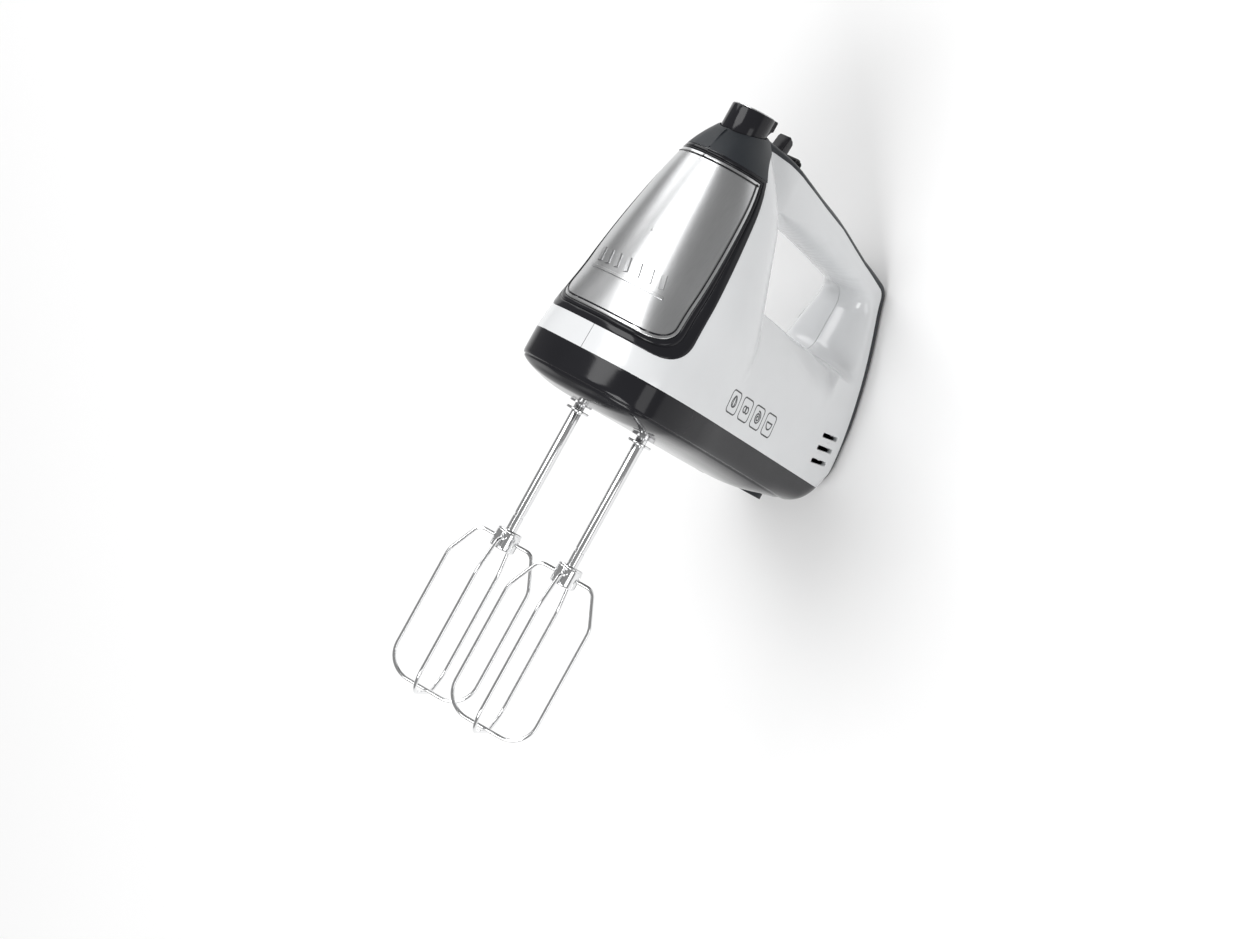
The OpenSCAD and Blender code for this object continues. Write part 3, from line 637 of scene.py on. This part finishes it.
def shell_faces(side):
    """Faces that stay: off the front plate, off the slots, and on the right off the screws."""
    edge = np.vstack([FRAME_ARC, [[-15.4, DOME_Z]]])

    def keep(c):
        under = (c[:, 2] > FRAME_Z + 1) & (c[:, 2] < DOME_Z - 0.8) & (
            c[:, 0] < np.interp(c[:, 2], edge[:, 1], edge[:, 0]) - 1.2)
        deep = np.abs(c[:, 1]) > 8  # not the lip along the seam
        free = clear_of(VENTS, c[:, 0], c[:, 2] - vent_rise(c[:, 0]))
        if side > 0:
            free &= clear_of(SCREWS, c[:, 0], c[:, 2])
        return ~under & (free | ~deep)
    return keep


for side, name in ((-1, "left"), (1, "right")):
    inward = (0, -side, 0)
    rims = [well(vent, on_side(side, vent_rise), inward, VENT_WALL) for vent in VENTS]
    if side > 0:
        for screw, seat in zip(SCREWS, SCREW_SEATS):
            wall_y = float(half_width(np.array(screw[0:1]), np.array(screw[1:2]))[0]) - SINK
            rims.append(well(screw, on_side(side), inward, wall_y - seat))
    piece(name + "_shell_skin",
          [quads(shell_skin() * [1, -side, 1], shell_faces(side), wrap_rows=True)] + rims,
          FINISHES["white_shell"], "housing", [name + "_shell"], 60)

# ---- front frame and steel plate ----

REACH = 78  # how far back the level sections of the tower are read
PLATE_SINK = 0.3


def sections(z):
    """Level sections of the front tower at heights z: x, y and the length walked from the
    centre line, one row for each height."""
    x = front_at(z)[:, None] + REACH * np.linspace(0, 1, 260) ** 2
    y = half_width(x, z[:, None] + 0 * x)
    y[:, 0] = 0
    walked = np.cumsum(np.hypot(np.diff(x, axis=1), np.diff(y, axis=1)), axis=1)
    return x, y, np.hstack([np.zeros((len(z), 1)), walked])


def read(keys, wanted, *tables):
    """Each row's tables read where its keys pass the wanted value."""
    i = np.clip((keys < wanted[:, None]).sum(1) - 1, 0, keys.shape[1] - 2)
    row = np.arange(len(i))
    f = (wanted - keys[row, i]) / (keys[row, i + 1] - keys[row, i])
    return [t[row, i] + f * (t[row, i + 1] - t[row, i]) for t in tables]


def on_front(a, z):
    """Points of the tower at distance a round its level sections from the centre line, left
    where a is below 0."""
    shape, a, z = np.shape(a), np.ravel(a), np.ravel(z)
    x, y, walked = sections(z)
    x, y = read(walked, np.abs(a), x, y)
    return np.stack([x, np.where(a < 0, -y, y), z], -1).reshape(*shape, 3)


def rim_line(corner_arc, low, top_x, high):
    """Half of the line round the front: along the bottom, round the corner, up the side and
    back over the top, as pairs of distance round the tower and height."""
    side_z = np.linspace(corner_arc[-1, 1], high, 71)[1:]
    side_x = np.interp(side_z, [corner_arc[-1, 1], high], [corner_arc[-1, 0], top_x])
    x, z = np.hstack([corner_arc[:, 0], side_x]), np.hstack([corner_arc[:, 1], side_z])
    xs, _, walked = sections(z)
    a, = read(xs, x, walked)
    t = np.linspace(0, 1, 36)[:-1]
    return np.stack([np.hstack([t * a[0], a, a[-1] * (1 - t[1:]), 0]),
                     np.hstack([low + 0 * t, z, high + 0 * t[1:], high])], -1)


FRAME_RIM = rim_line(FRAME_ARC, FRAME_Z, -15.4, DOME_Z)
PLATE_RIM = rim_line(PLATE_ARC, PLATE_Z, -20, PLATE_TOP)


def both_halves(rim):
    """A half line round the front, with its left half put before it."""
    return np.vstack([(rim * [-1, 1]), rim[-2:0:-1]])


def pressed(p, depth):
    """A front grid pressed in along its normals by depth, one value for each column."""
    wrapped = np.concatenate([p[-1:], p, p[:1]])
    return p - outward(wrapped)[1:-1] * np.asarray(depth)[None, :, None]


def frame_skin():
    """Straight lines across from the plate's rim to the frame's rim, with a bead inside, a
    groove, a broad band and a rolled outer edge."""
    across = np.array([0, 0.03, 0.08, 0.15, 0.22, 0.28, 0.32, 0.35, 0.38, 0.42, 0.5, 0.6, 0.7,
                       0.8, 0.88, 0.93, 0.965, 0.99])
    depth = np.array([0.9, 0.35, 0.08, 0, 0.02, 0.15, 0.45, 0.6, 0.45, 0.12, 0, 0, 0, 0, 0.02,
                      0.1, 0.25, 0.5])
    inside, outside = both_halves(PLATE_RIM), both_halves(FRAME_RIM)
    line = inside[:, None] + (outside - inside)[:, None] * across[None, :, None]
    p = pressed(on_front(line[..., 0], line[..., 1]), depth)
    walls = on_front(line[:, [0, -1], 0], line[:, [0, -1], 1])
    walls = pressed(np.concatenate([walls[:, :1], p[:, :1], walls[:, 1:]], 1), [2.2, 0, 2.2])
    return np.concatenate([walls[:, :1], p, walls[:, 2:]], axis=1)


def plate_skin():
    """Lines from the middle of the plate out to its rim, with a rolled bright edge."""
    share = np.concatenate([np.linspace(0, 0.99, 60), [0.993, 0.996, 0.998, 0.9992]])
    depth = np.concatenate([np.full(60, PLATE_SINK), [0.32, 0.38, 0.48, 0.65]])
    centre, rim = np.array([0, 82]), both_halves(PLATE_RIM)
    line = centre + (rim - centre)[:, None] * share[None, :, None]
    return pressed(on_front(line[..., 0], line[..., 1]), depth)


piece("frame_skin", [quads(frame_skin(), wrap_rows=True)], FINISHES["gloss_black"], "housing",
      ["front_frame"], 50)
piece("plate_skin", [quads(plate_skin(), wrap_rows=True)], FINISHES["brushed_plate"],
      "housing", ["front_plate"], 50)


def ribbon(path, width, place, rise, closed=False):
    """Raised strip along a path in two surface coordinates: flat on top, dropping at its
    edges. place() gives the surface and rise is its height."""
    path = np.asarray(path, float)
    if closed:
        ahead = np.roll(path, -1, 0) - np.roll(path, 1, 0)
    else:
        ahead = np.gradient(path, axis=0)
    across = unit(ahead)[:, ::-1] * [1, -1]
    offset = np.array([-0.5, -0.46, -0.36, 0.36, 0.46, 0.5]) * width
    height = np.array([-0.05, 0.6, 1, 1, 0.6, -0.05]) * rise
    line = path[:, None] + across[:, None] * offset[None, :, None]
    p = place(line[..., 0], line[..., 1], height[None, :] + 0 * line[..., 0])
    if closed:
        return quads(p, wrap_rows=True)
    first, last = (place(end[..., 0], end[..., 1], -0.05 + 0 * end[..., 0])
                   for end in (line[:1], line[-1:]))
    return quads(np.concatenate([first, p, last]))


def over_plate(a, z, height):
    """Points that far above the steel plate."""
    step_a = 0.2
    p = on_front(a, z)
    n = unit(np.cross(on_front(a, z + step_a) - p, on_front(a + step_a, z) - p))
    n = n * np.where(n[..., :1] > 0, -1, 1)
    return p + n * (height[..., None] - PLATE_SINK)


def over_left(x, z, height):
    """Points that far above the white wall on the left."""
    return np.stack([x, -(half_width(x, z) - SINK + height), z], -1)


MARK_Z, BAR_PITCH = 61, 6.4
BARS = [[(-19 + BAR_PITCH * i, MARK_Z - 1.5), (-17.2 + BAR_PITCH * i, MARK_Z + 4.8)]
        for i in range(7)]
bar_paths = [np.linspace(foot, head, 14) for foot, head in BARS]
underline = np.linspace((-22, MARK_Z - 4.6), (22, MARK_Z - 4.6), 90)
piece("plate_mark", [ribbon(p, 2.6, over_plate, 0.7) for p in bar_paths]
      + [ribbon(underline, 1.5, over_plate, 0.6)],
      FINISHES["brushed_plate"], "housing")

# ---- mode badges: outlined squares with a small picture of each tool ----

BADGE_X, BADGE_PITCH, BADGE_MID_Z = 18, 14, 33.5
BADGE_BOX = [5.2, 5.3, 2]  # half sizes and corner radius
PRINT_RISE = 0.06
turn = np.linspace(0, 2 * np.pi, 60, endpoint=False)
half_turn = np.linspace(0, np.pi, 30)
PICTURES = [
    [(np.stack([w * np.sin(turn) * (1 - 0.25 * np.cos(turn)), 0.4 + 2.6 * np.cos(turn)], -1), True)
     for w in (2.3, 1.1)],
    [(np.stack([s * 1.2 + 1.5 * np.cos(turn), 1.5 * np.sin(turn)], -1), True) for s in (-1, 1)],
    [(np.stack([(0.4 + 0.19 * t) * np.cos(t), (0.4 + 0.19 * t) * np.sin(t)], -1), False)
     for t in (np.linspace(0, 4.6 * np.pi, 80),)],
    [(np.stack([2.9 * np.cos(-half_turn), 0.8 + 2.9 * np.sin(-half_turn)], -1), False),
     (np.stack([np.linspace(-3.2, 3.2, 20), np.full(20, 1.1)], -1), False)],
]
badges = []
for i, picture in enumerate(PICTURES):
    centre = np.array([BADGE_X + BADGE_PITCH * i, BADGE_MID_Z])
    badges.append(ribbon(box_path([*centre, *BADGE_BOX]), 0.7, over_left, PRINT_RISE, True))
    badges += [ribbon(centre + line, 0.8, over_left, PRINT_RISE, shut) for line, shut in picture]
piece("mode_badges", badges, PRINT, "housing")

# ---- turned parts ----


def turned(r, z, centre, turns=96):
    """Profile of radius over height carried round the axis at centre (x, y)."""
    a = np.linspace(0, 2 * np.pi, turns, endpoint=False)[None]
    r, z = np.asarray(r, float)[:, None], np.asarray(z, float)[:, None]
    return np.stack([centre[0] + r * np.cos(a), centre[1] + r * np.sin(a), z + 0 * a], -1)


def soft_edge(r, z0, z1, round_r, inner=0.0):
    """Profile of a disc or ring between two heights with its outer edges rounded."""
    a = np.linspace(0, np.pi / 2, 6)
    return (np.concatenate([[inner], r - round_r + round_r * np.sin(a),
                            r - round_r + round_r * np.cos(a), [inner]]),
            np.concatenate([[z0], z0 + round_r - round_r * np.cos(a),
                            z1 - round_r + round_r * np.sin(a), [z1]]))


SPINDLE_Y = 19.5
SHAFT_R, COLLAR_Z, HUB_Z, HUB_H, HUB_R = 2.65, -4.3, -76.5, 10, 6.1
WIRE_Z, CAGE_R, WIRE_R, WIRE_TURN = -71.5, 21.5, 0.9, 22.5
WIRE_TIPS = [(-151.5, WIRE_TURN), (-149.3, WIRE_TURN + 90)]  # lowest z and turn of each loop
HUB_ROUND = 0.9


def hub_skin(y):
    """Drum with rounded shoulders, a waist line, and four keyhole notches pressed in."""
    r, z = soft_edge(HUB_R, HUB_Z, HUB_Z + HUB_H, HUB_ROUND)
    side = np.linspace(HUB_Z + HUB_ROUND, HUB_Z + HUB_H - HUB_ROUND, 50)
    r, z = np.hstack([r[:7], HUB_R + 0 * side, r[7:]]), np.hstack([z[:7], side, z[7:]])
    p = turned(r, z, (0, y), 240)
    angle = (np.degrees(np.arctan2(p[..., 1] - y, p[..., 0])) - WIRE_TURN - 45) % 90 - 45
    mid, walked, high = HUB_Z + HUB_H / 2, angle * np.pi / 180 * HUB_R, p[..., 2]
    hole = box_depth(walked, high, [0, mid + 1.5, 1.2, 1.2, 1.19])
    stem = box_depth(walked, high, [0, mid - 1.5, 0.5, 2.4, 0.4])
    on_wall = (high > HUB_Z + 1) & (high < HUB_Z + HUB_H - 1)
    press = 1 - 0.16 * step(0.12, -0.12, np.minimum(hole, stem)) * on_wall
    groove = 1 - 0.03 * np.exp(-((high - mid - 3.6) / 0.2) ** 2)
    p[..., :2] = [0, y] + (p[..., :2] - [0, y]) * (press * groove)[..., None]
    return quads(p, wrap_columns=True)


def wire_skin(y, tip_z, turn_deg):
    """Round wire swept along its bent line: out of the hub, down, across and up again."""
    line = rounded([[-4.5, WIRE_Z, 0], [-14, WIRE_Z, 5], [-CAGE_R, -88, 12],
                    [-CAGE_R, tip_z, 12.5], [CAGE_R, tip_z, 12.5], [CAGE_R, -88, 12],
                    [14, WIRE_Z, 5], [4.5, WIRE_Z, 0]], closed=False)
    far = np.cumsum(np.r_[0, np.hypot(*np.diff(line, axis=0).T)])
    keep = np.r_[True, np.diff(far) > 1e-6]
    share = np.linspace(0, far[-1], 260)
    line = np.stack([np.interp(share, far[keep], line[keep, i]) for i in (0, 1)], -1)
    along_line = unit(np.gradient(line, axis=0))
    b = np.linspace(0, 2 * np.pi, 20, endpoint=False)[None, :, None]
    across = np.stack([-along_line[:, 1], 0 * share, along_line[:, 0]], -1)[:, None]
    centre = np.stack([line[:, 0], 0 * share, line[:, 1]], -1)[:, None]
    p = centre + WIRE_R * (np.cos(b) * across + np.sin(b) * np.array([0, 1, 0]))
    p = np.concatenate([centre[:1] + 0 * p[:1], p, centre[-1:] + 0 * p[:1]])
    a = np.radians(turn_deg)
    x, v, z = np.moveaxis(p, -1, 0)
    p = np.stack([x * np.cos(a) - v * np.sin(a), y + x * np.sin(a) + v * np.cos(a), z], -1)
    return quads(p, wrap_columns=True)


for side, y in (("left", -SPINDLE_Y), ("right", SPINDLE_Y)):
    body, chrome = side + "_beater", FINISHES["chrome_wire"]
    r = [0, SHAFT_R - 1.4, SHAFT_R - 0.1, SHAFT_R, SHAFT_R, SHAFT_R - 0.25, SHAFT_R - 0.25,
         SHAFT_R, SHAFT_R, 0]
    z = [38, 38, 36.1, 35.9, -58, -58.2, -59.4, -59.6, -67, -67]
    piece(side + "_shaft_skin", [quads(turned(r, z, (0, y), 64), wrap_columns=True)], chrome,
          body, [side + "_beater_shaft"])
    r, z = soft_edge(5.75, COLLAR_Z, COLLAR_Z + 1.2, 0.35, SHAFT_R - 0.05)
    piece(side + "_collar_skin", [quads(turned(r, z, (0, y)), wrap_columns=True)], chrome,
          body, [side + "_beater_collar"])
    piece(side + "_hub_skin", [hub_skin(y)], chrome, body,
          [side + "_beater_hub"])
    piece(side + "_wires_skin", [wire_skin(y, tip_z, turn_deg) for tip_z, turn_deg in WIRE_TIPS],
          chrome, body, [side + "_beater_wires"])

# ---- dial, cap and buttons ----

DIAL_SLOPE, TAB_TURN = np.radians(6.3), -35
CAP_R, CAP_EDGE, CAP_CROWN = 9.3, 0.4, 1.1


def dial_skin():
    """Knob whose side rises to a sloping top; a finger tab stands out of the side, and the
    top is sunk inside a rim to take the cap."""
    r = np.array([3, DIAL_R - 0.3, DIAL_R, DIAL_R, DIAL_R, DIAL_R, DIAL_R, DIAL_R - 0.05,
                  DIAL_R - 0.2, DIAL_R - 0.5, DIAL_R - 0.85, DIAL_R - 0.95, DIAL_R - 1, 0])
    up = np.array([0, 0, 0.05, 0.5, 0.64, 0.68, 0.95, 0.965, 0.985, 1, 1, 0.98, 0.93, 0.93])
    a = np.linspace(0, 2 * np.pi, 240, endpoint=False)[None]
    tab = step(17, 12, np.abs((np.degrees(a) - TAB_TURN + 180) % 360 - 180))
    grow = 1.6 * tab * (step(0.6, 0.68, up) * step(DIAL_R - 1.2, DIAL_R - 0.4, r))[:, None]
    rr = r[:, None] + grow
    x = DIAL_X + rr * np.cos(a)
    high = DIAL_TOP + (x - DIAL_X + DIAL_R) * np.tan(DIAL_SLOPE)
    return np.stack([x, rr * np.sin(a), DIAL_Z + (high - DIAL_Z) * up[:, None]], -1)


def cap_skin():
    """Lens of metal on the dial: a crowned disc with a rolled edge, turned by its slope."""
    u = np.linspace(0, 1, 24)
    r = np.hstack([CAP_R * u * 0.985, CAP_R * 0.997, CAP_R, CAP_R, 0])
    h = np.hstack([CAP_CROWN - (CAP_CROWN - CAP_EDGE) * u * u, CAP_EDGE - 0.1, CAP_EDGE - 0.25,
                   0, 0])
    p = turned(r, h, (DIAL_R + 0.05, 0))
    x, y, z = np.moveaxis(p, -1, 0)
    c, s = np.cos(DIAL_SLOPE), np.sin(DIAL_SLOPE)
    return np.stack([DIAL_X - DIAL_R + x * c - z * s, y, DIAL_TOP + x * s + z * c], -1)


def button_skin(corners, half_y, round_r):
    """Side outline carried across, drawn in towards its centre at both ends."""
    line = rounded(corners)
    line = fine(np.vstack([line, line[:1]]), 3)
    centre = line.mean(0)
    size = np.abs(line - centre).mean()
    a = np.linspace(0, np.pi / 2, 6)
    y = np.hstack([-half_y, -half_y + round_r * (1 - np.sin(a[::-1])),
                   half_y - round_r * (1 - np.sin(a)), half_y])
    shrink = 1 - np.hstack([size, round_r * (1 - np.cos(a[::-1])),
                            round_r * (1 - np.cos(a)), size]) / size
    flat = centre + (line - centre)[None] * shrink[:, None, None]
    return quads(np.stack([flat[..., 0], y[:, None] + 0 * flat[..., 0], flat[..., 1]], -1),
                 wrap_columns=True)


piece("dial_skin", [quads(dial_skin(), wrap_columns=True)], FINISHES["gloss_black"], "dial",
      ["speed_dial"], 50)
piece("dial_cap_skin", [quads(cap_skin(), wrap_columns=True)], FINISHES["silver_cap"], "dial",
      ["dial_cap"], 50)
piece("eject_skin", [button_skin([[9, 139, 0.2], [9.4, 144, 2], [11.2, 152, 0.6],
                                  [12, 153, 0.4], [15, 151.9, 0.6], [15.9, 150.8, 0.6],
                                  [15.4, 144, 2], [15.2, 139, 0.2]], 3.5, 0.7)],
      FINISHES["gloss_black"], "ejector", ["eject_button"], 50)
piece("turbo_skin", [button_skin([[24, 137, 0.2], [24, 146.4, 0.5], [24.8, 147.3, 0.4],
                                  [27.2, 147.3, 0.2], [27.6, 146.8, 0.2], [29, 146.6, 0.5],
                                  [30, 145.8, 0.5], [30, 137, 0.2]], 3.5, 0.6)],
      FINISHES["gloss_black"], "turbo")

# ---- floor, lights and camera ----

VIEW_TURN, VIEW_ROLL, VIEW_FAR = np.radians(56), np.radians(28.9), 1150
SENSOR, FOCAL = 36, 36 * 2530 / 1253
FLOOR = 4  # half the floor's side, in metres
LAMP_AIM = (-0.05, 0, 0.1)
AIM = 16.7 * np.array([np.cos(VIEW_TURN), -np.sin(VIEW_TURN), 0]) + [0, 0, -16.5]


def direction(v):
    """A direction of the working position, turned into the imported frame."""
    return Vector(parked(np.array(v, float)) - parked(np.zeros(3))) / MM


ahead = np.array([np.sin(VIEW_TURN), np.cos(VIEW_TURN), 0])
right = np.array([np.cos(VIEW_TURN), -np.sin(VIEW_TURN), 0])
up = np.array([0, 0, 1])
camera_right = direction(np.cos(VIEW_ROLL) * right + np.sin(VIEW_ROLL) * up)
camera_up = direction(np.cos(VIEW_ROLL) * up - np.sin(VIEW_ROLL) * right)
camera_back = direction(-ahead)
lens = bpy.data.cameras.new("camera")
lens.sensor_width, lens.lens = SENSOR, FOCAL
camera = bpy.data.objects.new("camera", lens)
camera.matrix_world = Matrix.Translation(Vector(parked(AIM - VIEW_FAR * ahead))) @ Matrix(
    (camera_right, camera_up, camera_back)).transposed().to_4x4()
bpy.context.scene.collection.objects.link(camera)
bpy.context.scene.camera = camera

floor_mesh = bpy.data.meshes.new("floor")
floor_mesh.from_pydata([(-FLOOR, -FLOOR, 0), (FLOOR, -FLOOR, 0), (FLOOR, FLOOR, 0),
                        (-FLOOR, FLOOR, 0)], [], [(0, 1, 2, 3)])
floor_finish = Finish("floor", Roughness=0.9)
floor_finish.shader.inputs["Base Color"].default_value = (0.9, 0.9, 0.9, 1)
floor_mesh.materials.append(floor_finish.material)
floor = bpy.data.objects.new("floor", floor_mesh)
bpy.context.scene.collection.objects.link(floor)

bpy.context.scene.view_settings.view_transform = "Standard"
world = bpy.data.worlds.new("studio")
world.use_nodes = True
world.node_tree.nodes["Background"].inputs["Color"].default_value = (1, 1, 1, 1)
world.node_tree.nodes["Background"].inputs["Strength"].default_value = 0.3
bpy.context.scene.world = world


def softbox(name, place, width, height, power):
    """Rectangular studio lamp at place, turned to the mixer, with its power in watts."""
    lamp = bpy.data.lights.new(name, "AREA")
    lamp.shape, lamp.size, lamp.size_y, lamp.energy = "RECTANGLE", width, height, power
    thing = bpy.data.objects.new(name, lamp)
    thing.location = place
    away = Vector(LAMP_AIM) - Vector(place)
    thing.rotation_euler = away.to_track_quat("-Z", "Y").to_euler()
    bpy.context.scene.collection.objects.link(thing)


softbox("key", (-0.9, -0.5, 1.6), 0.9, 0.9, 18)
softbox("top", (0.7, 0.4, 1.7), 1.0, 1.0, 16)
softbox("front", (-0.2, -1.7, 0.9), 1.1, 0.7, 5)
softbox("rear", (0.9, 1.0, 0.6), 0.8, 0.8, 5)
